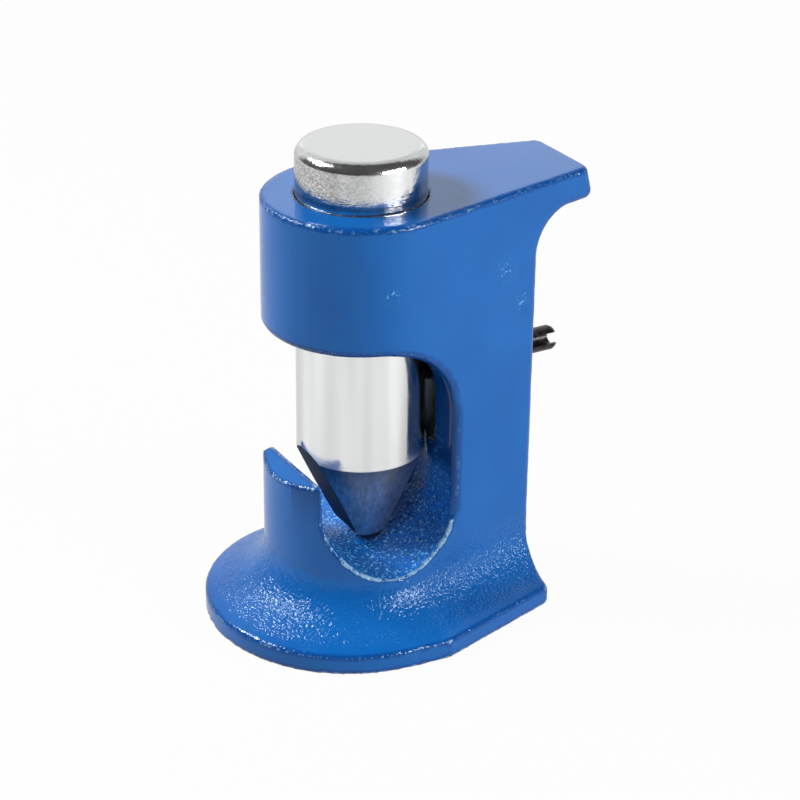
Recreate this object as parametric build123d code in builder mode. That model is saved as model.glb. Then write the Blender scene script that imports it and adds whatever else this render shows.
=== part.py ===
from build123d import *
from math import acos, atan2, cos, degrees, hypot, radians, sin, sqrt, tan
import os

# A hammer crimping tool: a cast frame with an anvil groove, a steel ram that
# slides down its head, and the slotted spring pin that keys the ram.
# Millimetres. The Z axis is the ram's axis, Z = 0 is the underside of the base,
# +Y points to the column and the horn, and the cable lies along X.

# driving sizes
ram_diameter = 30.0
ram_standout = 11.6         # how far the lowered ram stands out of the head
ram_travel = 20.0
pin_diameter = 6.0
body_height = 104.2

# head and horn
head_wall = 7.75            # metal left around the bore
head_height = 30.9
horn_length = 17.9          # from the column's back face to the lower corner of the horn's end
horn_end_lean = 16.0        # degrees, the end leans back towards its top
horn_half_width = 10.4      # at that corner
horn_thickness = 8.1
horn_corner_round = 2.2
horn_hollow = 10.0          # radius of the hollow between horn and column

# column
column_back = 38.2          # from the ram's axis to the column's back face
column_front = 13.5         # the face that looks at the ram
back_corner_round = 1.8

# base
base_reach = 11.57          # how far the disc reaches out past the head's radius
base_shift = -3.0           # the disc's centre lies in front of the ram's axis
rim_height = 4.8
apron_slope = 22.0          # degrees
apron_overlap = 3.93        # how far the apron's cone runs on inside the tower
waist_lean = 5.0            # degrees, how the disc's sides open towards the waist
tail_taper = 16.9           # degrees
tail_spread = 1.4           # how far the lines of the tail's sides lie outside the disc
waist_round = 3.0           # eases the corner between disc and tail
flare_radius = 12.0

# throat and anvil groove
groove_floor = 17.0
groove_floor_shift = -3.5   # the deepest line lies in front of the ram's axis
lip_thickness = 5.53        # at its middle, from the groove to the head's outline
groove_front_height = 16.0  # from the deepest line to where the lip rises straight
groove_back_spare = 3.0     # how far the arc behind the deepest line would carry on past the column's front
lip_height = 40.5
lip_slope = 20.0            # degrees, the lip's top falls away outwards
arch_radius = 20.4          # where the head's underside turns down into the column

# ram passage in the column
fit_clearance = 0.08        # radial, ram in its bore
scallop_clearance = 0.45
pocket_clearance = 2.4
pocket_floor = 43.6
pocket_floor_round = 5.4
scallop_bevel_height = 3.5
scallop_bevel_angle = 55.0  # degrees from level

# ram details
nose_gap = 1.6              # between the lowered ram's nose and the groove's floor
ram_edge_round = 2.7
tip_cone_height = 22.8
tip_cone_angle = 22.0       # degrees from the axis
wedge_angle = 26.0          # degrees from the axis
nose_radius = 4.5

# pin details
pin_height = 57.5           # the pin's axis above the base
pin_wall = 1.3
pin_gap = 2.6
pin_gap_turn = 17.0         # degrees above level
pin_chamfer = 0.8
pin_chamfer_angle = 28.0    # degrees from the pin's axis
pin_standout = 14.2         # how far it stands out of the column's back
pin_depth = 6.0             # how deep it reaches into the ram
pin_side_clearance = 0.3
pin_end_clearance = 0.4

# edge rounding
rim_round = 1.0
foot_round = 0.4
top_round = 1.0
throat_round = 1.8
groove_round = 0.6
lip_round = 0.7

cut_spare = 1.0             # how far a cut runs past the metal
tolerance = 0.01            # for telling edges apart by where they lie

ram_radius = ram_diameter / 2
pin_radius = pin_diameter / 2
bore_radius = ram_radius + fit_clearance
head_radius = bore_radius + head_wall
head_bottom = body_height - head_height
horn_bottom = body_height - horn_thickness
horn_reach = column_back + horn_length
base_radius = head_radius + base_reach

# plan outline of head, column and horn: an arc and two tangents to the horn's end
apron_inset = base_radius - head_radius + apron_overlap
apron_top = rim_height + apron_inset * tan(radians(apron_slope))
horn_distance = hypot(horn_half_width, horn_reach)
side_angle = degrees(atan2(horn_reach, horn_half_width) - acos(head_radius / horn_distance))
tangent_x = head_radius * cos(radians(side_angle))
tangent_y = head_radius * sin(radians(side_angle))

# throat and ram passage
throat_front = -head_radius - cut_spare
lip_inside = lip_thickness - head_radius
groove_front_width = groove_floor_shift - lip_inside
lip_front_height = lip_height - (lip_inside - throat_front) * tan(radians(lip_slope))
horn_end = horn_reach + cut_spare
horn_top_reach = horn_reach - (horn_thickness + cut_spare) * tan(radians(horn_end_lean))
arch_start = column_front - arch_radius
groove_back_width = column_front - groove_floor_shift
groove_back_radius = groove_back_width + groove_back_spare
groove_corner = groove_floor + groove_back_radius - sqrt(groove_back_radius**2 - groove_back_width**2)
scallop_radius = ram_radius + scallop_clearance
pocket_radius = ram_radius + pocket_clearance
scallop_end = groove_corner + scallop_bevel_height
scallop_inner = scallop_radius - scallop_bevel_height / tan(radians(scallop_bevel_angle))


def is_waist(vertex):
    """True for the two corners where the base's disc meets its tail."""
    return base_shift < vertex.Y < column_back - tolerance


def base_plan(inset):
    """Disc whose sides run on to a waist and a tapering tail, moved inwards by inset all round."""
    disc = base_radius - inset
    line_distance = disc + tail_spread
    lean = radians(waist_lean)
    turn = radians(tail_taper)
    leave_x = disc * cos(lean)
    leave_y = base_shift - disc * sin(lean)
    waist_x = (disc * sin(turn) + line_distance * sin(lean)) / sin(turn + lean)
    waist_y = base_shift + (line_distance * cos(lean) - disc * cos(turn)) / sin(turn + lean)
    tail_x = (line_distance - (column_back - base_shift) * sin(turn)) / cos(turn)
    with BuildSketch() as plan:
        with BuildLine():
            ThreePointArc((-leave_x, leave_y), (0, base_shift - disc), (leave_x, leave_y))
            Polyline(
                (leave_x, leave_y),
                (waist_x, waist_y),
                (tail_x, column_back),
                (-tail_x, column_back),
                (-waist_x, waist_y),
                (-leave_x, leave_y),
            )
        make_face()
        fillet(plan.vertices().filter_by(is_waist), radius=waist_round)
    return plan.sketch


def wall_distance(point):
    """How far a point stands outside the tower's side wall."""
    if point.Y < tangent_y:
        return hypot(point.X, point.Y) - head_radius
    turn = radians(side_angle)
    return abs(point.X) * cos(turn) + point.Y * sin(turn) - head_radius


def is_top_edge(edge):
    """True for the outer edges of the head's and horn's top."""
    return all(abs((edge @ part).Z - body_height) < tolerance for part in (0, 0.5, 1))


def is_apron_root(edge):
    """True for the edges where the sloping apron meets the tower's wall."""
    points = [edge @ part for part in (0, 0.5, 1)]
    return all(abs(wall_distance(point)) < tolerance and point.Z < apron_top for point in points)


def is_horn_corner(edge):
    """True for the lower edge and the two side edges of the horn's end."""
    ends = [edge @ 0, edge @ 1]
    lean = radians(horn_end_lean)
    on_end = all(
        abs((end.Y - horn_reach) * cos(lean) + (end.Z - horn_bottom) * sin(lean)) < tolerance for end in ends
    )
    at_top = all(abs(end.Z - body_height) < tolerance for end in ends)
    return on_end and not at_top


def is_back_corner(edge):
    """True for the edges that run up both corners of the back face."""
    ends = [edge @ 0, edge @ 1]
    on_back = all(abs(end.Y - column_back) < tolerance for end in ends)
    same_side = ends[0].X * ends[1].X > 0
    return on_back and same_side


def is_arch_edge(edge):
    """True for the outer edges under the head, round the arch and down the column's front."""
    points = [edge @ part for part in (0, 0.5, 1)]
    in_arch = all(
        lip_height + tolerance < point.Z < head_bottom + tolerance and point.Y < column_front + tolerance
        for point in points
    )
    on_front = all(
        abs(point.Y - column_front) < tolerance and point.Z > groove_corner - tolerance for point in points
    )
    return (in_arch or on_front) and all(wall_distance(point) > -tolerance for point in points)


def is_groove_edge(edge):
    """True for the outer edges where the anvil groove breaks through the sides."""
    points = [edge @ part for part in (0, 0.5, 1)]
    in_groove = all(
        groove_floor - tolerance < point.Z < lip_height + tolerance
        and lip_inside - tolerance < point.Y < column_front + tolerance
        for point in points
    )
    on_front = all(abs(point.Y - column_front) < tolerance for point in points)
    outside = all(wall_distance(point) > -tolerance for point in points)
    return in_groove and outside and not on_front


def is_lip_edge(edge):
    """True for the two long edges along the top of the lip."""
    points = [edge @ part for part in (0, 0.5, 1)]
    on_lip = all(
        lip_front_height < point.Z < lip_height + tolerance and point.Y < lip_inside + tolerance
        for point in points
    )
    return on_lip and edge.length > head_radius


def is_rim_edge(edge):
    """True for the upper edge of the base's rim."""
    return all(abs((edge @ part).Z - rim_height) < tolerance for part in (0, 0.5, 1))


def is_foot_edge(edge):
    """True for the lower edge of the base's rim."""
    return all(abs((edge @ part).Z) < tolerance for part in (0, 0.5, 1))


rim_plan = base_plan(0)
apron_plan = base_plan(apron_inset)

with BuildPart() as body:
    # base rim and the sloping apron that rises to the tower
    with BuildSketch():
        add(rim_plan)
    extrude(amount=rim_height)
    with BuildSketch(Plane.XY.offset(rim_height)):
        add(rim_plan)
    with BuildSketch(Plane.XY.offset(apron_top)):
        add(apron_plan)
    loft(ruled=True)
    # tower
    with BuildSketch():
        with BuildLine():
            ThreePointArc((-tangent_x, tangent_y), (0, -head_radius), (tangent_x, tangent_y))
            Line((tangent_x, tangent_y), (horn_half_width, horn_reach))
            Line((horn_half_width, horn_reach), (-horn_half_width, horn_reach))
            Line((-horn_half_width, horn_reach), (-tangent_x, tangent_y))
        make_face()
    extrude(amount=body_height)
    # the column's back face and the hollow under the horn
    with BuildSketch(Plane.YZ):
        with BuildLine():
            Line((column_back, -cut_spare), (column_back, horn_bottom - horn_hollow))
            RadiusArc(
                (column_back, horn_bottom - horn_hollow),
                (column_back + horn_hollow, horn_bottom),
                horn_hollow,
            )
            Polyline(
                (column_back + horn_hollow, horn_bottom),
                (horn_reach, horn_bottom),
                (horn_top_reach, body_height + cut_spare),
                (horn_end, body_height + cut_spare),
                (horn_end, -cut_spare),
                (column_back, -cut_spare),
            )
        make_face()
    extrude(amount=head_radius, both=True, mode=Mode.SUBTRACT)
    # hollow flare from the tower down to the apron
    fillet(body.edges().filter_by(is_apron_root), radius=flare_radius)
    # soft corners down the back, under the horn and round the top
    fillet(body.edges().filter_by(is_horn_corner), radius=horn_corner_round)
    fillet(body.edges().filter_by(is_back_corner), radius=back_corner_round)
    fillet(body.edges().filter_by(is_top_edge), radius=top_round)
    # throat and anvil groove, cut straight through along the cable
    with BuildSketch(Plane.YZ):
        with BuildLine():
            Line((throat_front, head_bottom), (arch_start, head_bottom))
            RadiusArc((arch_start, head_bottom), (column_front, head_bottom - arch_radius), arch_radius)
            Line((column_front, head_bottom - arch_radius), (column_front, groove_corner))
            RadiusArc(
                (column_front, groove_corner), (groove_floor_shift, groove_floor), groove_back_radius
            )
            EllipticalCenterArc(
                (groove_floor_shift, groove_floor + groove_front_height),
                groove_front_width,
                groove_front_height,
                start_angle=180,
                arc_size=90,
            )
            Polyline(
                (lip_inside, groove_floor + groove_front_height),
                (lip_inside, lip_height),
                (throat_front, lip_front_height),
                (throat_front, head_bottom),
            )
        make_face()
    extrude(amount=base_radius, both=True, mode=Mode.SUBTRACT)
    # soft edges round the arch, crisper ones along the groove and the lip
    fillet(body.edges().filter_by(is_arch_edge), radius=throat_round)
    fillet(body.edges().filter_by(is_groove_edge), radius=groove_round)
    fillet(body.edges().filter_by(is_lip_edge), radius=lip_round)
    fillet(body.edges().filter_by(is_rim_edge), radius=rim_round)
    fillet(body.edges().filter_by(is_foot_edge), radius=foot_round)
    # bore, relieved pocket and scallop for the ram
    with BuildSketch(Plane.XZ):
        with BuildLine():
            Polyline(
                (0, groove_corner),
                (scallop_inner, groove_corner),
                (scallop_radius, scallop_end),
                (scallop_radius, pocket_floor),
            )
            RadiusArc(
                (scallop_radius, pocket_floor),
                (pocket_radius, pocket_floor + pocket_floor_round),
                -pocket_floor_round,
            )
            Polyline(
                (pocket_radius, pocket_floor + pocket_floor_round),
                (pocket_radius, head_bottom),
                (bore_radius, head_bottom),
                (bore_radius, body_height + cut_spare),
                (0, body_height + cut_spare),
                (0, groove_corner),
            )
        make_face()
    revolve(axis=Axis.Z, mode=Mode.SUBTRACT)
    # hole for the pin through the column
    with BuildSketch(Plane.XZ.offset(-column_back - cut_spare)):
        with Locations((0, pin_height)):
            Circle(pin_radius)
    extrude(amount=column_back + cut_spare - ram_radius, mode=Mode.SUBTRACT)


# ram: a turned bar with a cone, two flats that make a blunt wedge, and a keyway
ram_tip_height = groove_floor + nose_gap
tip_cone_top = ram_tip_height + tip_cone_height
wedge_point = ram_tip_height - nose_radius * (1 / sin(radians(wedge_angle)) - 1)
wedge_width = ram_radius + cut_spare
wedge_shoulder = wedge_point + wedge_width / tan(radians(wedge_angle))
cone_end_radius = ram_radius - (tip_cone_top - wedge_point) * tan(radians(tip_cone_angle))
ram_top = body_height + ram_standout
keyway_floor = ram_radius - pin_depth - pin_end_clearance
keyway_width = pin_diameter + 2 * pin_side_clearance

with BuildPart() as ram:
    with BuildSketch(Plane.XZ):
        with BuildLine():
            Polyline(
                (0, ram_top - ram_edge_round),
                (0, wedge_point),
                (cone_end_radius, wedge_point),
                (ram_radius, tip_cone_top),
                (ram_radius, ram_top - ram_edge_round),
            )
            RadiusArc(
                (ram_radius, ram_top - ram_edge_round),
                (ram_radius - ram_edge_round, ram_top),
                -ram_edge_round,
            )
            Polyline(
                (ram_radius - ram_edge_round, ram_top), (0, ram_top), (0, ram_top - ram_edge_round)
            )
        make_face()
    revolve(axis=Axis.Z)
    with BuildSketch(Plane.YZ.offset(-ram_radius)) as wedge:
        with BuildLine():
            Polyline(
                (0, wedge_point),
                (wedge_width, wedge_shoulder),
                (wedge_width, ram_top),
                (-wedge_width, ram_top),
                (-wedge_width, wedge_shoulder),
                close=True,
            )
        make_face()
        fillet(wedge.vertices().sort_by(Axis.Y)[0], radius=nose_radius)
    extrude(amount=ram_diameter, mode=Mode.INTERSECT)
    with BuildSketch(Plane.XZ.offset(-ram_radius)):
        with Locations((0, pin_height - ram_travel / 2)):
            SlotCenterToCenter(ram_travel, keyway_width, rotation=90)
    extrude(amount=ram_radius - keyway_floor, mode=Mode.SUBTRACT)

# pin: a rolled steel tube with a gap down one side and chamfered ends
pin_inner_end = ram_radius - pin_depth
pin_outer_end = column_back + pin_standout
pin_inner_radius = pin_radius - pin_wall
pin_chamfer_radius = pin_radius - pin_chamfer * tan(radians(pin_chamfer_angle))
gap_direction = (cos(radians(pin_gap_turn)), 0, sin(radians(pin_gap_turn)))
gap_plane = Plane(origin=(0, pin_outer_end, pin_height), x_dir=gap_direction, z_dir=(0, -1, 0))

with BuildPart() as retaining_pin:
    with BuildSketch(Plane.YZ):
        with BuildLine():
            Polyline(
                (pin_inner_end, pin_height + pin_inner_radius),
                (pin_inner_end, pin_height + pin_chamfer_radius),
                (pin_inner_end + pin_chamfer, pin_height + pin_radius),
                (pin_outer_end - pin_chamfer, pin_height + pin_radius),
                (pin_outer_end, pin_height + pin_chamfer_radius),
                (pin_outer_end, pin_height + pin_inner_radius),
                close=True,
            )
        make_face()
    revolve(axis=Axis((0, 0, pin_height), (0, 1, 0)))
    with BuildSketch(gap_plane):
        with Locations((pin_radius, 0)):
            Rectangle(pin_diameter, pin_gap)
    extrude(amount=pin_outer_end - pin_inner_end, mode=Mode.SUBTRACT)

body.part.label = "body"
ram.part.label = "ram"
retaining_pin.part.label = "retaining_pin"

os.makedirs("parts", exist_ok=True)
export_step(body.part, "parts/body.step")
export_step(ram.part, "parts/ram.step")
export_step(retaining_pin.part, "parts/retaining_pin.step")
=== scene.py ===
import bpy
import numpy as np
from math import cos, radians, sin, tan
from mathutils import Matrix, Vector


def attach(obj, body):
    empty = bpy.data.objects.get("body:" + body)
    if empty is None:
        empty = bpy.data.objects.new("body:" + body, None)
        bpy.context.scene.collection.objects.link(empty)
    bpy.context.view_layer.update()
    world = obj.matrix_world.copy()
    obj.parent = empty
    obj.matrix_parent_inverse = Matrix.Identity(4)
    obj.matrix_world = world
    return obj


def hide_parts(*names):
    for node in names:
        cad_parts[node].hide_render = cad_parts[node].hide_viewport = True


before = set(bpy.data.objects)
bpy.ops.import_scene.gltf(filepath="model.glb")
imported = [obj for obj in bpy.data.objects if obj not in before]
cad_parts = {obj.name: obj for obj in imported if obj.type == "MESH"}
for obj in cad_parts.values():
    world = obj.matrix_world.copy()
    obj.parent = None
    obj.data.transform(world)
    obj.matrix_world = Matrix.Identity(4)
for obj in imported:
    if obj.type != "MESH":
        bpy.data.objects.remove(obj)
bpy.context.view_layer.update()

# A hammer crimping tool: blue enamelled casting, plated ram, black slotted pin.
# Lengths are millimetres. The camera, the lamps and the floor are in metres, and
# the noises of the materials count their blotches per metre.
MM = 0.001

# the casting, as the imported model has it
bore_radius = 15.08
head_wall = 7.75
head_height = 30.9
body_height = 104.2
tangent_y = 5.2             # the head is round in front of this, and runs straight on behind it
base_reach = 11.57          # from the head's radius out to the rim
base_shift = -3.0           # the base's centre lies in front of the ram's axis
rim_height = 4.8
column_front = 13.5
pocket_radius = 17.4
pocket_floor = 43.6
scallop_half_width = 12.5   # the rough hollow under the pocket, at the column's front
scallop_depth = 3.0
lip_thickness = 5.53
lip_height = 40.5
groove_floor = 17.0
groove_corner = 26.5        # height at which the groove meets the column's front
head_radius = bore_radius + head_wall
head_bottom = body_height - head_height
base_radius = head_radius + base_reach
lip_inside = lip_thickness - head_radius

# the ram
ram_top = 115.8
edge_start = ram_top - 2.7      # where its rounded edge begins
struck_foot = ram_top - 11.3    # the bar is scored and dented above this height
soot_top = struck_foot + 1.9    # and dark with oil up to this one
tip_top = 41.3                  # where its ground tip ends and the plated bar begins
nose_top = 20.1                 # its nose has painted shade below this height
wedge_point = 12.83             # where the planes of its two flats meet
wedge_angle = 26.0              # degrees from the axis

# hand-dressed places of the casting
blunt_end_x = -10.3         # where the far end of the lip was ground off
blunt_end_slope = 50.0      # degrees, falling outwards
blunt_end_reach = 7.0       # how far the grinding reaches past the metal
corner_blend_reach = 6.0    # the corner between column and groove is eased over this length
corner_blend_depth = 0.7
corner_blend_lean = 16.0    # degrees, the way out of that corner over level

# marks left by the sand, each a place and a radius
pit_depth = 0.22
pits = (
    ((16.7, 27.9, 85.9), 1.1),
    ((15.6, 32.4, 83.4), 0.8),
    ((15.4, 33.5, 74.3), 1.0),
)
scuffs = (
    ((16.7, 27.9, 85.9), 2.0),
    ((15.4, 33.5, 77.0), 1.4),
    ((22.4, -4.5, 88.1), 1.3),
    ((10.5, 15.5, 44.5), 3.5),
)

# the painted surface
cell_size = 0.62
weld_reach = 0.002
snap_reach = 0.12           # how near a point must lie to a turned face to be set on it
lumps = ((3.3, 0.06), (2.0, 0.065), (1.3, 0.055))   # size and height of each layer
ripple_size = 9.0
ripple_height = 0.03
ripple_seed = 7
standing_height = 0.3       # the base's underside stays flat below this
flare_rough_top = 12.5      # the flare is rough up to here in front
flare_rough_rise = 7.0      # and this much higher beside the column
bead_share = 0.55           # how rough the beads along the edges are
groove_fade = (34.0, 42.0)  # heights over which the groove's rough iron gives way to paint
throat_shade_fade = (28.0, 42.0)  # and the throat's painted shade begins
mouth_half_width = 18.0     # the groove's mouth, where cables rub it, lies outside this
mouth_low = 12.0
mouth_high = 42.0
rim_rubbed = 0.6            # how much the rim is rubbed, against the mouth

# how far a point stands out over its neighbours, in micrometres: the start and end of each look
shaded_corner_bend = (-12.0, -70.0)    # in corners, where shade is painted
dark_reflection_bend = (12.0, 36.0)    # beside an edge, where a dark reflection is painted
bead_bend = (14.0, 45.0)        # along an edge, where it dried in beads
worn_highlight_bend = (44.0, 74.0)        # and on it, where it is rubbed through, partly a painted highlight

# colours of the casting
blue_paint = (0.003, 0.094, 0.36)
pale_blue_paint = (0.004, 0.112, 0.405)
# painted shade in corners, and a painted dark reflection line beside edges
corner_shade_paint = (0.001, 0.05, 0.24)
# painted shade over the throat, the faces under the head that look at the ram
throat_shade_paint = (0.001, 0.034, 0.17)
# sparse paint in the groove, made pale partly as painted light standing in for the light there
thin_lit_paint = (0.002, 0.185, 0.74)
sand_hole = (0.001, 0.035, 0.16)
# sand grains, whose pale specks are partly painted glints
grain_glint_blue = (0.16, 0.55, 0.95)
# paint rubbed through on edges, a pale line that is partly a painted highlight
worn_paint_and_highlight = (0.22, 0.40, 0.58)
cut_iron = (0.13, 0.14, 0.15)
bright_iron = (0.55, 0.58, 0.60)
gloss_tint = (0.76, 0.95, 1.0)

# colours of the ram and the pin
dim_plating = (0.66, 0.67, 0.67)
bright_plating = (0.90, 0.91, 0.91)
scored_plating = (0.24, 0.24, 0.235)
satin_face = (0.58, 0.59, 0.59)
oily_soot = (0.07, 0.07, 0.07)
dim_steel = (0.40, 0.43, 0.48)
bright_steel = (0.62, 0.66, 0.72)
# painted dark reflection on the ground tip towards the plating
tip_reflection_steel = (0.12, 0.15, 0.20)
# painted dark reflection on the tip's two flats, and painted shade on its nose
flat_and_nose_shade = (0.02, 0.04, 0.08)
black_oxide = (0.008, 0.008, 0.01)
rubbed_oxide = (0.05, 0.05, 0.055)

# camera, in metres and degrees
view_azimuth = 60.94
view_elevation = 25.27
view_distance = 0.5518
view_roll = 0.24
aim_height = 0.060
aim_right = 0.00907
aim_down = 0.00668
lens_mm = 107.5
sensor_mm = 36.0

# studio, in metres: azimuth runs from the front, -Y, towards +X, as the camera's does
lamp_aim = (0.0, 0.005, 0.05)
backdrop_azimuth = view_azimuth + 180
backdrop_elevation = 14.0
backdrop_core = 44.0        # degrees from its middle, fully white
backdrop_edge = 64.0        # degrees to where it has faded into the dark room
backdrop_level = 0.84
room_level = 0.075
world_level = 0.17
floor_reach = 3.0           # metres from its middle to each side
floor_grey = 0.45
floor_seen = 0.965          # how much of its white the camera sees, the rest takes the shadow
floor_mirrored = 0.6        # and how much of it the gloss sees


def smooth_step(low, high, value):
    """0 below low, 1 above high, and 3t^2 - 2t^3 in between."""
    t = np.clip((value - low) / (high - low), 0.0, 1.0)
    return t * t * (3.0 - 2.0 * t)


def lattice_noise(points, size, seed):
    """Random heights from -1 to 1 on a cubic lattice of step size, blended by the
    smooth step of the place inside each cell."""
    count = 32
    heights = np.random.default_rng(seed).uniform(-1.0, 1.0, (count, count, count))
    place = points / size
    cell = np.floor(place).astype(int)
    part = smooth_step(0.0, 1.0, place - cell)
    total = np.zeros(len(points))
    for step in np.ndindex(2, 2, 2):
        x, y, z = ((cell + step) % count).T
        weight = np.abs(1 - np.array(step) - part).prod(axis=1)
        total += weight * heights[x, y, z]
    return total


def distance_from(points, centre):
    """How far each point lies from a place."""
    return np.linalg.norm(points - centre, axis=1)


def read_points(mesh):
    """The mesh's points as an array, in millimetres."""
    flat = np.zeros(len(mesh.vertices) * 3, np.float32)
    mesh.vertices.foreach_get("co", flat)
    return flat.reshape(-1, 3).astype(float) / MM


def write_points(mesh, points):
    """Puts an array of points in millimetres back into the mesh."""
    mesh.vertices.foreach_set("co", (points * MM).astype(np.float32).ravel())
    mesh.update()


def read_normals(mesh):
    """The mesh's normals at its points as an array."""
    flat = np.zeros(len(mesh.vertices) * 3, np.float32)
    mesh.vertices.foreach_get("normal", flat)
    return flat.reshape(-1, 3).astype(float)


def neighbour_mean(mesh, values):
    """The mean of an array's values over the neighbours of each point."""
    flat = np.zeros(len(mesh.edges) * 2, np.int32)
    mesh.edges.foreach_get("vertices", flat)
    ends = flat.reshape(-1, 2)
    total = np.zeros_like(values)
    np.add.at(total, ends[:, 0], values[ends[:, 1]])
    np.add.at(total, ends[:, 1], values[ends[:, 0]])
    count = np.bincount(ends.ravel(), minlength=len(values))
    return total / np.maximum(count, 1).reshape((-1,) + (1,) * (values.ndim - 1))


def outward_bend(mesh):
    """How sharply the surface bends at each point: its height in micrometres over the mean
    of its neighbours, along the normal, evened out twice. Edges are positive, corners
    negative."""
    points = read_points(mesh)
    height = ((points - neighbour_mean(mesh, points)) * read_normals(mesh)).sum(1) / MM
    for _ in range(2):
        height = 0.5 * (height + neighbour_mean(mesh, height))
    return height


def add_attribute(mesh, name, values):
    """Keeps an array of one number per point on the mesh, for its material to read."""
    layer = mesh.attributes.new(name, "FLOAT", "POINT")
    layer.data.foreach_set("value", values.astype(np.float32))


def snap_to_turned_faces(points):
    """Sets points that lie near a turned face of the casting exactly on it: each keeps its
    height and its direction from the axis, and takes the face's radius."""
    x, y, z = points.T
    for centre_y, radius, there in (
        (0.0, head_radius, y < tangent_y),
        (0.0, bore_radius, z > head_bottom - 1),
        (base_shift, base_radius, z < rim_height),
    ):
        distance = np.hypot(x, y - centre_y)
        near = there & (np.abs(distance - radius) < snap_reach)
        scale = np.where(near, radius / np.maximum(distance, 1e-6), 1.0)
        x = x * scale
        y = centre_y + (y - centre_y) * scale
    return np.stack([x, y, z], 1)


def ease_groove_corner(points):
    """Fills the corner between the column's front and the groove: each point within reach of
    it moves towards the open side by depth (1 - distance / reach)^2."""
    distance = np.hypot(points[:, 1] - column_front, points[:, 2] - groove_corner)
    share = np.clip(1.0 - distance / corner_blend_reach, 0.0, 1.0) ** 2
    lean = radians(corner_blend_lean)
    open_side = np.array((0.0, -cos(lean), sin(lean)))
    return points + corner_blend_depth * share[:, None] * open_side


def lip_end_cutter():
    """A wedge over the far end of the lip: an outline in X and Z, whose underside falls by
    reach times the slope's tangent, carried along Y through the lip."""
    top = lip_height + 3.0
    far_x = blunt_end_x - blunt_end_reach
    far_z = lip_height - blunt_end_reach * tan(radians(blunt_end_slope))
    outline = ((blunt_end_x, lip_height), (blunt_end_x, top), (far_x, top), (far_x, far_z))
    inner, outer = lip_inside + 1.0, -head_radius - 1.0
    points = [(x * MM, y * MM, z * MM) for y in (outer, inner) for x, z in outline]
    sides = [(i, i + 4, (i + 1) % 4 + 4, (i + 1) % 4) for i in range(4)]
    mesh = bpy.data.meshes.new("lip_end_cutter")
    mesh.from_pydata(points, [], [(0, 1, 2, 3), (7, 6, 5, 4), *sides])
    return bpy.data.objects.new("lip_end_cutter", mesh)


def in_groove(points, normals):
    """1 inside the anvil groove, whose walls run along X, where rough iron lies under sparse paint,
    and in the scallop behind it, and 0 outside them."""
    x, y, z = points.T
    wall = 1 - smooth_step(0.2, 0.45, np.abs(normals[:, 0]))
    behind_lip = smooth_step(lip_inside - 0.5, lip_inside, y)
    before_column = 1 - smooth_step(-0.2, 0.4, y - column_front)
    in_column = (y > column_front) & (y < column_front + scallop_depth)
    scallop = in_column & (np.abs(x) < scallop_half_width) & (z < pocket_floor - 0.5)
    rough = np.where(scallop, 1.0, wall * behind_lip * before_column)
    return rough * (z > groove_floor - 1.5) * (1 - smooth_step(*groove_fade, z))


def throat_shade_share(points, normals):
    """1 on the column's face that looks at the ram and on the arch above it, where shade is
    painted, and 0 elsewhere."""
    x, y, z = points.T
    facing = smooth_step(0.35, 0.75, np.maximum(-normals[:, 1], -normals[:, 2]))
    along = (y > -head_radius + 1) & (y < column_front + 8)
    inside = along & (z < head_bottom + 1) & (np.abs(x) < head_radius - 0.5)
    return facing * inside * smooth_step(*throat_shade_fade, z)


def gritty_spots(points):
    """Round spots of sand grain in the paint: the greatest of exp(-(distance / radius)^2)."""
    spots = [np.exp(-((distance_from(points, centre) / radius) ** 2)) for centre, radius in scuffs]
    return np.max(spots, axis=0)


def cast_roughness(points, normals):
    """How rough the casting is at each point, 0 to 1: the flare above the base and the groove
    are rough, and the rest was dressed smooth."""
    x, y, z = points.T
    beside_column = smooth_step(-6.0, 14.0, y)
    smooth_above = flare_rough_top + flare_rough_rise * beside_column
    above_rim = smooth_step(rim_height + 0.2, rim_height + 1.7, z)
    low = above_rim * (1 - smooth_step(0.0, 10.0, z + 0.2 * np.abs(x) - smooth_above))
    flare = low * (0.85 + 0.15 * beside_column)
    rough = np.maximum(flare, in_groove(points, normals))
    return np.clip(np.maximum(rough, gritty_spots(points)), 0.0, 1.0)


def rubbed_share(points):
    """1 along the mouth of the groove, where cables rub the paint off the edge, less along the rim,
    which is knocked about, and 0 elsewhere."""
    x, y, z = points.T
    along = (y > -head_radius - 1) & (y < column_front + 6)
    mouth = along & (np.abs(x) > mouth_half_width) & (z > mouth_low) & (z < mouth_high)
    return np.where(mouth, 1.0, np.where(z < rim_height + 1.5, rim_rubbed, 0.0))


def machined_share(points):
    """1 on the faces that were bored and reamed after painting, 0 on paint."""
    x, y, z = points.T
    distance = np.hypot(x, y)
    behind_ram = (y > 6.0) & (z > pocket_floor - 0.5) & (z < head_bottom + 1.0)
    pocket = behind_ram * (1 - smooth_step(pocket_radius - 0.1, pocket_radius + 0.5, distance))
    in_head = z > head_bottom - 0.5
    bore = in_head * (1 - smooth_step(bore_radius + 0.1, bore_radius + 0.4, distance))
    return np.clip(pocket + bore, 0.0, 1.0)


def even_cells(source):
    """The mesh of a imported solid, less the wedge ground off its lip, in even cubic cells."""
    loose = source.data.copy()
    solid = bpy.data.objects.new("ground_casting", loose)
    cutter = lip_end_cutter()
    for item in (solid, cutter):
        bpy.context.scene.collection.objects.link(item)
    weld = solid.modifiers.new("weld", "WELD")
    weld.merge_threshold = weld_reach * MM
    ground = solid.modifiers.new("ground", "BOOLEAN")
    ground.object = cutter
    ground.operation = "DIFFERENCE"
    ground.solver = "EXACT"
    remesh = solid.modifiers.new("remesh", "REMESH")
    remesh.mode = "VOXEL"
    remesh.voxel_size = cell_size * MM
    remesh.use_smooth_shade = True
    graph = bpy.context.evaluated_depsgraph_get()
    even = bpy.data.meshes.new_from_object(solid.evaluated_get(graph))
    for item in (solid, cutter):
        bpy.data.meshes.remove(item.data)
    return even


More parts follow.
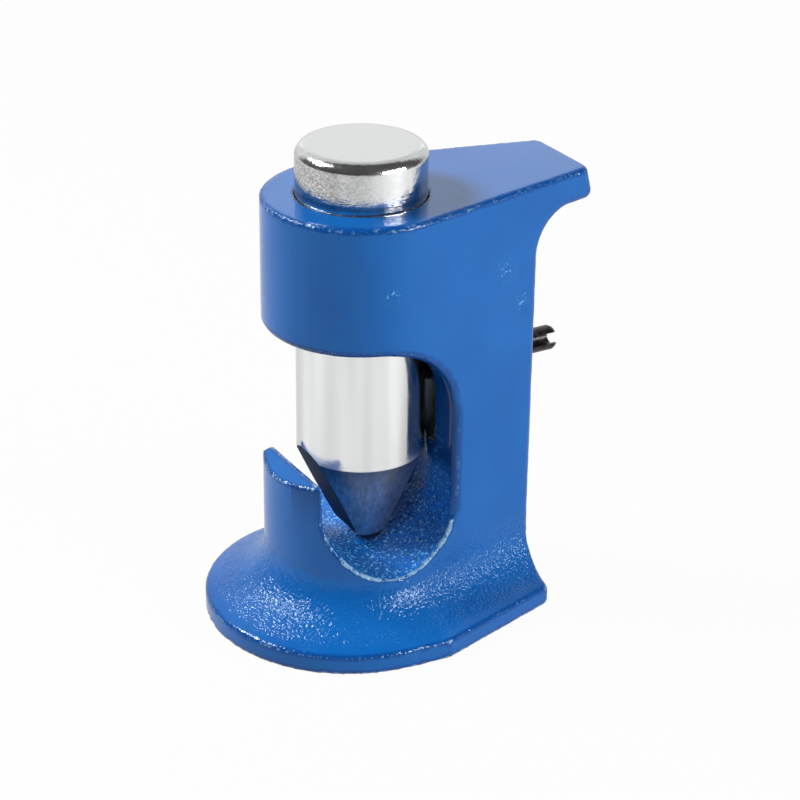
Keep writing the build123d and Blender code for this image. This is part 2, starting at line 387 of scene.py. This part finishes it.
def painted_casting():
    """The casting under its paint: the frame's own surface in even cells, with the lumps
    and the slow ripple of a sand casting, each point moved along its normal by
    the sum of lattice noises, less a round pit where the sand fell in."""
    even = even_cells(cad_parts["body"])
    points = snap_to_turned_faces(read_points(even))
    machined = machined_share(points)
    points = ease_groove_corner(points)
    write_points(even, points)
    normals = read_normals(even)
    beads = bead_share * smooth_step(*bead_bend, outward_bend(even))
    rough = np.maximum(cast_roughness(points, normals), beads) * (1 - machined)
    rise = np.zeros(len(points))
    for seed, (size, height) in enumerate(lumps, 1):
        rise += rough * height * lattice_noise(points, size, seed)
    fitted = machined > 0.5
    standing = points[:, 2] < standing_height
    ripple = np.where(fitted | standing, 0.0, ripple_height)
    rise += ripple * lattice_noise(points, ripple_size, ripple_seed)
    for centre, radius in pits:
        rise -= pit_depth * np.exp(-((distance_from(points, centre) / radius) ** 2))
    write_points(even, points + normals * rise[:, None])
    add_attribute(even, "rough", rough)
    add_attribute(even, "groove", in_groove(points, normals) * (1 - machined))
    add_attribute(even, "throat", throat_shade_share(points, normals))
    add_attribute(even, "grit_glints", gritty_spots(points))
    add_attribute(even, "rubbed", rubbed_share(points))
    add_attribute(even, "bend", outward_bend(even))
    add_attribute(even, "machined", machined)
    even.polygons.foreach_set("use_smooth", np.ones(len(even.polygons), bool))
    even.materials.clear()
    even.materials.append(enamel_material())
    casting = bpy.data.objects.new("painted_casting", even)
    bpy.context.scene.collection.objects.link(casting)
    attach(casting, "frame")
    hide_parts("body")


def node_tree(name):
    """A new material with its nodes and links."""
    material = bpy.data.materials.new(name)
    material.use_nodes = True
    return material, material.node_tree.nodes, material.node_tree.links


def object_place(nodes):
    """The place on the object, in metres."""
    return nodes.new("ShaderNodeTexCoord").outputs["Object"]


def noise_node(nodes, links, place, scale, detail, roughness=0.5):
    """A noise from 0 to 1 with scale blotches to the metre and detail finer layers."""
    noise = nodes.new("ShaderNodeTexNoise")
    noise.inputs["Scale"].default_value = scale
    noise.inputs["Detail"].default_value = detail
    noise.inputs["Roughness"].default_value = roughness
    links.new(place, noise.inputs["Vector"])
    return noise.outputs["Fac"]


def stretched(nodes, links, place, scale):
    """The place with each axis multiplied by its scale, so that a pattern runs long where
    the scale is small."""
    stretch = nodes.new("ShaderNodeMapping")
    stretch.inputs["Scale"].default_value = scale
    links.new(place, stretch.inputs["Vector"])
    return stretch.outputs["Vector"]


def ramp_node(nodes, links, source, low, low_colour, high, high_colour):
    """A colour ramp: low_colour up to the value low, high_colour from the value high on."""
    ramp = nodes.new("ShaderNodeValToRGB")
    stops = ((low, low_colour), (high, high_colour))
    for element, (place, colour) in zip(ramp.color_ramp.elements, stops):
        element.position = place
        element.color = (*colour, 1.0)
    links.new(source, ramp.inputs["Fac"])
    return ramp.outputs["Color"]


def attribute_node(nodes, name):
    """A number that the mesh keeps at each of its points."""
    attribute = nodes.new("ShaderNodeAttribute")
    attribute.attribute_name = name
    return attribute.outputs["Fac"]


def across_and_height(nodes, links, place):
    """The place's Y, from the ram's axis towards the column, and its Z."""
    parts = nodes.new("ShaderNodeSeparateXYZ")
    links.new(place, parts.inputs["Vector"])
    return parts.outputs["Y"], parts.outputs["Z"]


def range_node(nodes, links, source, low, high, to_low, to_high):
    """Carries source from the span low to high over to the span to_low to to_high."""
    span = nodes.new("ShaderNodeMapRange")
    span.inputs["From Min"].default_value = low
    span.inputs["From Max"].default_value = high
    span.inputs["To Min"].default_value = to_low
    span.inputs["To Max"].default_value = to_high
    links.new(source, span.inputs["Value"])
    return span.outputs["Result"]


def share_node(nodes, links, source, start, end, most=1.0):
    """0 where source is at start, rising to most where it is at end."""
    return range_node(nodes, links, source, start, end, 0.0, most)


def math_node(nodes, links, operation, first, second):
    """One operation on two values, each a socket or a plain number."""
    node = nodes.new("ShaderNodeMath")
    node.operation = operation
    for place, value in enumerate((first, second)):
        if isinstance(value, (int, float)):
            node.inputs[place].default_value = value
        else:
            links.new(value, node.inputs[place])
    return node.outputs["Value"]


def greatest(nodes, links, *values):
    """The greatest of several values."""
    result = values[0]
    for value in values[1:]:
        result = math_node(nodes, links, "MAXIMUM", result, value)
    return result


def product(nodes, links, *values):
    """All the values multiplied together."""
    result = values[0]
    for value in values[1:]:
        result = math_node(nodes, links, "MULTIPLY", result, value)
    return result


def mix_colours(nodes, links, share, first, second):
    """A blend from first to second, each a colour socket or a plain colour."""
    mix = nodes.new("ShaderNodeMix")
    mix.data_type = "RGBA"
    links.new(share, mix.inputs["Factor"])
    for name, colour in (("A", first), ("B", second)):
        socket = [item for item in mix.inputs if item.name == name and item.type == "RGBA"][0]
        if isinstance(colour, tuple):
            socket.default_value = (*colour, 1.0)
        else:
            links.new(colour, socket)
    return [item for item in mix.outputs if item.type == "RGBA"][0]


def bump_node(nodes, links, height, distance, strength, normal=None):
    """Tilts the light as if the surface rose by distance millimetres where height is 1."""
    bump = nodes.new("ShaderNodeBump")
    bump.inputs["Distance"].default_value = distance * MM
    if isinstance(strength, float):
        bump.inputs["Strength"].default_value = strength
    else:
        links.new(strength, bump.inputs["Strength"])
    links.new(height, bump.inputs["Height"])
    if normal is not None:
        links.new(normal, bump.inputs["Normal"])
    return bump.outputs["Normal"]


def enamel_material():
    """Glossy cobalt enamel over a sand casting: painted shade in its corners and over the throat,
    a painted dark reflection beside the edges, sparse pale paint in the groove that is partly
    painted light, sand grains whose pale specks are partly painted glints, edges rubbed off in
    specks to a pale line that is partly a painted highlight, and plain grey iron where the bore
    was cut."""
    material, nodes, links = node_tree("cobalt_enamel")
    shader = nodes["Principled BSDF"]
    place = object_place(nodes)
    bend = attribute_node(nodes, "bend")
    machined = attribute_node(nodes, "machined")
    groove = attribute_node(nodes, "groove")

    # paint: painted shade in corners and over the throat, a painted dark reflection beside edges,
    # and pale paint in the groove that is partly painted light
    tint = noise_node(nodes, links, place, scale=55.0, detail=3.0)
    paint = ramp_node(nodes, links, tint, 0.3, blue_paint, 0.7, pale_blue_paint)
    # painted shade in corners, and a painted dark reflection beside edges
    corner_shade = share_node(nodes, links, bend, *shaded_corner_bend, 0.5)
    edge_dark_reflection = share_node(nodes, links, bend, *dark_reflection_bend, 0.75)
    paint = mix_colours(nodes, links, greatest(nodes, links, corner_shade, edge_dark_reflection), paint, corner_shade_paint)
    # painted shade over the throat
    throat_shade = share_node(nodes, links, attribute_node(nodes, "throat"), 0.0, 1.0, 0.8)
    paint = mix_colours(nodes, links, throat_shade, paint, throat_shade_paint)
    # pale groove paint, partly painted light, paler towards the column
    across, _ = across_and_height(nodes, links, place)
    inward = range_node(nodes, links, across, -4.0 * MM, 6.0 * MM, 0.2, 1.0)
    thin_and_lit = product(nodes, links, groove, inward)
    paint = mix_colours(nodes, links, thin_and_lit, paint, thin_lit_paint)

    # sand holes, and sand grains whose pale specks are partly painted glints
    holes = noise_node(nodes, links, place, scale=1100.0, detail=2.0, roughness=0.6)
    holes = product(nodes, links, share_node(nodes, links, holes, 0.48, 0.40, 0.6), thin_and_lit)
    paint = mix_colours(nodes, links, holes, paint, sand_hole)
    # pale specks of sand grain, partly painted glints
    specks = noise_node(nodes, links, place, scale=1300.0, detail=1.0, roughness=0.6)
    grit = greatest(nodes, links, groove, attribute_node(nodes, "grit_glints"))
    grain_glints = product(nodes, links, share_node(nodes, links, specks, 0.58, 0.65, 0.85), grit)
    paint = mix_colours(nodes, links, grain_glints, paint, grain_glint_blue)

    # edges rubbed through to a pale line that is partly a painted highlight, and cut iron
    chips = noise_node(nodes, links, place, scale=600.0, detail=5.0, roughness=0.7)
    rubbed = range_node(nodes, links, attribute_node(nodes, "rubbed"), 0.0, 1.0, -0.12, 0.0)
    chips = math_node(nodes, links, "ADD", chips, rubbed)
    chance = share_node(nodes, links, chips, 0.38, 0.48)
    # pale line on edges, partly a painted highlight
    worn_and_highlight = product(nodes, links, share_node(nodes, links, bend, *worn_highlight_bend), chance)
    paint = mix_colours(nodes, links, worn_and_highlight, paint, worn_paint_and_highlight)
    cut = mix_colours(nodes, links, grain_glints, cut_iron, bright_iron)
    links.new(mix_colours(nodes, links, machined, paint, cut), shader.inputs["Base Color"])
    links.new(machined, shader.inputs["Metallic"])

    # gloss
    grain = noise_node(nodes, links, place, scale=420.0, detail=3.0)
    gloss = range_node(nodes, links, grain, 0.3, 0.7, 0.12, 0.18)
    dusty = product(nodes, links, range_node(nodes, links, specks, 0.50, 0.58, 0.6, 0.1), thin_and_lit)
    reamed = share_node(nodes, links, machined, 0.0, 1.0, 0.5)
    links.new(greatest(nodes, links, gloss, dusty, reamed), shader.inputs["Roughness"])
    shader.inputs["Specular IOR Level"].default_value = 0.38
    shader.inputs["Specular Tint"].default_value = (*gloss_tint, 1.0)

    # fine lumps and grains
    depth = range_node(nodes, links, attribute_node(nodes, "rough"), 0.0, 1.0, 0.03, 1.0)
    fine_lumps = noise_node(nodes, links, place, scale=1450.0, detail=1.0)
    grains = noise_node(nodes, links, place, scale=2600.0, detail=0.0)
    lumpy = bump_node(nodes, links, fine_lumps, 0.38, depth)
    links.new(bump_node(nodes, links, grains, 0.05, depth, lumpy), shader.inputs["Normal"])
    return material


def plated_material():
    """Turned steel under bright plating: fine rings round the axis, long soft bands where the
    bar was polished, a scored foot of the struck end, and a ground tip with a painted dark
    reflection towards the plating and on its two flats, and painted shade on its nose."""
    material, nodes, links = node_tree("bright_plating")
    shader = nodes["Principled BSDF"]
    place = object_place(nodes)
    across, height = across_and_height(nodes, links, place)

    # the polished bar
    upright = stretched(nodes, links, place, (1.0, 1.0, 0.05))
    bands = noise_node(nodes, links, upright, scale=150.0, detail=1.0)
    tint = ramp_node(nodes, links, bands, 0.36, dim_plating, 0.62, bright_plating)

    # the struck end: scored in front, satin on top, with an oily ring at its foot
    struck = share_node(nodes, links, height, struck_foot * MM, (struck_foot + 1.5) * MM)
    in_front = share_node(nodes, links, across, -2.0 * MM, -14.0 * MM)
    level = stretched(nodes, links, place, (0.5, 0.5, 1.0))
    strokes = noise_node(nodes, links, level, scale=2400.0, detail=3.0, roughness=0.7)
    strokes = range_node(nodes, links, strokes, 0.35, 0.65, 0.2, 1.0)
    below_edge = share_node(nodes, links, height, (edge_start + 1.2) * MM, edge_start * MM)
    scored = product(nodes, links, strokes, in_front, struck, below_edge)
    tint = mix_colours(nodes, links, scored, tint, scored_plating)
    face = share_node(nodes, links, height, (ram_top - 0.5) * MM, (ram_top - 0.1) * MM)
    tint = mix_colours(nodes, links, face, tint, satin_face)
    soot = share_node(nodes, links, height, soot_top * MM, (soot_top - 1.2) * MM, 0.93)
    soot = product(nodes, links, soot, struck)
    tint = mix_colours(nodes, links, soot, tint, oily_soot)

    # the ground tip, with a painted dark reflection towards the plating and on its flats, and
    # painted shade on its nose
    downwards = stretched(nodes, links, place, (1.0, 1.0, 0.02))
    streaks = noise_node(nodes, links, downwards, scale=1100.0, detail=2.0)
    steel = ramp_node(nodes, links, streaks, 0.35, dim_steel, 0.7, bright_steel)
    # painted dark reflection on the tip, rising towards the plating
    tip_reflection = share_node(nodes, links, height, (tip_top - 8.0) * MM, tip_top * MM, 0.8)
    steel = mix_colours(nodes, links, tip_reflection, steel, tip_reflection_steel)
    plated = share_node(nodes, links, height, tip_top * MM, (tip_top + 0.3) * MM)
    surface = mix_colours(nodes, links, plated, steel, tint)
    # painted dark reflection on the two flats, painted shade on the nose
    side = math_node(nodes, links, "ABSOLUTE", across, 0.0)
    plane = math_node(nodes, links, "SUBTRACT", height, wedge_point * MM)
    plane = product(nodes, links, plane, tan(radians(wedge_angle)))
    past_plane = math_node(nodes, links, "SUBTRACT", side, plane)
    on_flat = share_node(nodes, links, past_plane, -0.06 * MM, -0.01 * MM)
    on_nose = share_node(nodes, links, height, (nose_top + 0.5) * MM, nose_top * MM)
    dark = greatest(nodes, links, on_flat, on_nose)
    surface = mix_colours(nodes, links, dark, surface, flat_and_nose_shade)
    links.new(surface, shader.inputs["Base Color"])
    shader.inputs["Metallic"].default_value = 1.0

    # polish
    smear = noise_node(nodes, links, place, scale=240.0, detail=4.0)
    polish = range_node(nodes, links, smear, 0.3, 0.7, 0.1, 0.2)
    foot = share_node(nodes, links, height, (tip_top + 5.0) * MM, tip_top * MM, 0.36)
    flats = product(nodes, links, dark, 0.65)
    satin = product(nodes, links, face, 0.32)
    links.new(greatest(nodes, links, polish, foot, flats, satin), shader.inputs["Roughness"])

    # turned rings, and dents where it is struck
    depth = range_node(nodes, links, struck, 0.0, 1.0, 0.12, 1.0)
    round_axis = stretched(nodes, links, place, (0.12, 0.12, 1.0))
    rings = noise_node(nodes, links, round_axis, scale=2600.0, detail=2.0)
    tall = stretched(nodes, links, place, (1.0, 1.0, 0.6))
    dents = noise_node(nodes, links, tall, scale=900.0, detail=3.0)
    turned = bump_node(nodes, links, rings, 0.035, depth)
    links.new(bump_node(nodes, links, dents, 0.08, depth, turned), shader.inputs["Normal"])
    return material


def black_steel_material():
    """Black oxide on spring steel, rubbed where it was driven in."""
    material, nodes, links = node_tree("black_oxide")
    shader = nodes["Principled BSDF"]
    place = object_place(nodes)
    tint = noise_node(nodes, links, place, scale=900.0, detail=3.0)
    colour = ramp_node(nodes, links, tint, 0.35, black_oxide, 0.8, rubbed_oxide)
    links.new(colour, shader.inputs["Base Color"])
    shader.inputs["Metallic"].default_value = 0.5
    links.new(range_node(nodes, links, tint, 0.3, 0.7, 0.25, 0.45), shader.inputs["Roughness"])
    along_pin = stretched(nodes, links, place, (1.0, 0.08, 1.0))
    scores = noise_node(nodes, links, along_pin, scale=3000.0, detail=2.0)
    links.new(bump_node(nodes, links, scores, 0.03, 0.4), shader.inputs["Normal"])
    return material


def dress_node(name, material):
    """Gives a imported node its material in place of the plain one."""
    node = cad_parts[name]
    mesh = node.data
    if not mesh.materials:
        mesh.materials.append(material)
    for place in range(len(mesh.materials)):
        mesh.materials[place] = material


def seen_rays(nodes, links, camera_share, gloss_share):
    """camera_share for camera rays, gloss_share for glossy and transmission rays, and 0 for
    the light that falls on things."""
    path = nodes.new("ShaderNodeLightPath").outputs
    gloss = greatest(nodes, links, path["Is Glossy Ray"], path["Is Transmission Ray"])
    gloss = product(nodes, links, gloss, gloss_share)
    direct = product(nodes, links, path["Is Camera Ray"], camera_share)
    return greatest(nodes, links, gloss, direct)


def towards(azimuth, elevation, distance=1.0):
    """The point at distance in a direction, with azimuth from -Y towards +X."""
    turn, rise = radians(azimuth), radians(elevation)
    return Vector((sin(turn) * cos(rise), -cos(turn) * cos(rise), sin(rise))) * distance


def pale_floor():
    """A plain pale floor that shows white, and keeps the object's shadow."""
    mesh = bpy.data.meshes.new("floor")
    reach = floor_reach
    corners = [(-reach, -reach, 0), (reach, -reach, 0), (reach, reach, 0), (-reach, reach, 0)]
    mesh.from_pydata(corners, [], [(0, 1, 2, 3)])
    floor = bpy.data.objects.new("floor", mesh)
    bpy.context.scene.collection.objects.link(floor)
    material, nodes, links = node_tree("pale_floor")
    shader = nodes["Principled BSDF"]
    shader.inputs["Base Color"].default_value = (floor_grey, floor_grey, floor_grey, 1.0)
    shader.inputs["Roughness"].default_value = 0.6
    glow = nodes.new("ShaderNodeEmission")
    mix = nodes.new("ShaderNodeMixShader")
    links.new(seen_rays(nodes, links, floor_seen, floor_mirrored), mix.inputs["Fac"])
    links.new(shader.outputs["BSDF"], mix.inputs[1])
    links.new(glow.outputs["Emission"], mix.inputs[2])
    links.new(mix.outputs["Shader"], nodes["Material Output"].inputs["Surface"])
    mesh.materials.append(material)


def studio_world():
    """A white backdrop in a dark room: the camera sees white all round, the object's gloss
    sees the backdrop and the room, and a low even light fills the shadows."""
    white = (1.0, 1.0, 1.0, 1.0)
    world = bpy.data.worlds.new("studio")
    bpy.context.scene.world = world
    world.use_nodes = True
    nodes, links = world.node_tree.nodes, world.node_tree.links
    even = nodes["Background"]
    even.inputs["Color"].default_value = white
    even.inputs["Strength"].default_value = world_level
    toward = nodes.new("ShaderNodeVectorMath")
    toward.operation = "DOT_PRODUCT"
    toward.inputs[1].default_value = towards(backdrop_azimuth, backdrop_elevation)
    links.new(nodes.new("ShaderNodeTexCoord").outputs["Generated"], toward.inputs[0])
    edge, core = cos(radians(backdrop_edge)), cos(radians(backdrop_core))
    gloss = range_node(nodes, links, toward.outputs["Value"], edge, core, room_level, backdrop_level)
    path = nodes.new("ShaderNodeLightPath")
    backdrop = nodes.new("ShaderNodeBackground")
    backdrop.inputs["Color"].default_value = white
    level = greatest(nodes, links, gloss, path.outputs["Is Camera Ray"])
    links.new(level, backdrop.inputs["Strength"])
    mix = nodes.new("ShaderNodeMixShader")
    links.new(seen_rays(nodes, links, 1.0, 1.0), mix.inputs["Fac"])
    links.new(even.outputs["Background"], mix.inputs[1])
    links.new(backdrop.outputs["Background"], mix.inputs[2])
    links.new(mix.outputs["Shader"], nodes["World Output"].inputs["Surface"])


def soft_lamp(name, azimuth, elevation, distance, width, height, power):
    """A rectangular soft box in the given direction, turned to face the object."""
    lamp = bpy.data.lights.new(name, "AREA")
    lamp.shape = "RECTANGLE"
    lamp.size = width
    lamp.size_y = height
    lamp.energy = power
    holder = bpy.data.objects.new(name, lamp)
    holder.location = Vector(lamp_aim) + towards(azimuth, elevation, distance)
    holder.rotation_mode = "QUATERNION"
    holder.rotation_quaternion = (-towards(azimuth, elevation)).to_track_quat("-Z", "Y")
    bpy.context.scene.collection.objects.link(holder)


def camera():
    """The camera stands view_distance from the point at aim_height on the ram's axis, and looks a
    little to the right of it and below it, so that the object lies as in the photograph."""
    turn, roll = radians(view_azimuth), radians(view_roll)
    back = towards(view_azimuth, view_elevation)
    level = Vector((cos(turn), sin(turn), 0))
    upright = back.cross(level)
    right = level * cos(roll) + upright * sin(roll)
    up = upright * cos(roll) - level * sin(roll)
    target = Vector((0, 0, aim_height))
    stand = target + back * view_distance
    aim = target + right * aim_right - up * aim_down
    away = (stand - aim).normalized()
    side = up.cross(away).normalized()
    top = away.cross(side)
    data = bpy.data.cameras.new("camera")
    data.lens = lens_mm
    data.sensor_width = sensor_mm
    data.clip_start = 0.01
    data.clip_end = 20.0
    holder = bpy.data.objects.new("camera", data)
    turned = Matrix((side, top, away)).transposed()
    holder.matrix_world = Matrix.Translation(stand) @ turned.to_4x4()
    bpy.context.scene.collection.objects.link(holder)
    bpy.context.scene.camera = holder


camera()
painted_casting()
dress_node("ram", plated_material())
dress_node("retaining_pin", black_steel_material())
pale_floor()
studio_world()
soft_lamp("right_box", 118, 15, distance=0.8, width=0.42, height=0.17, power=6.1)
soft_lamp("left_box", -36, 45, distance=0.8, width=0.34, height=0.20, power=8.3)
soft_lamp("back_box", backdrop_azimuth, 24, distance=1.0, width=0.8, height=0.4, power=0.5)

bpy.context.scene.view_settings.view_transform = "Standard"
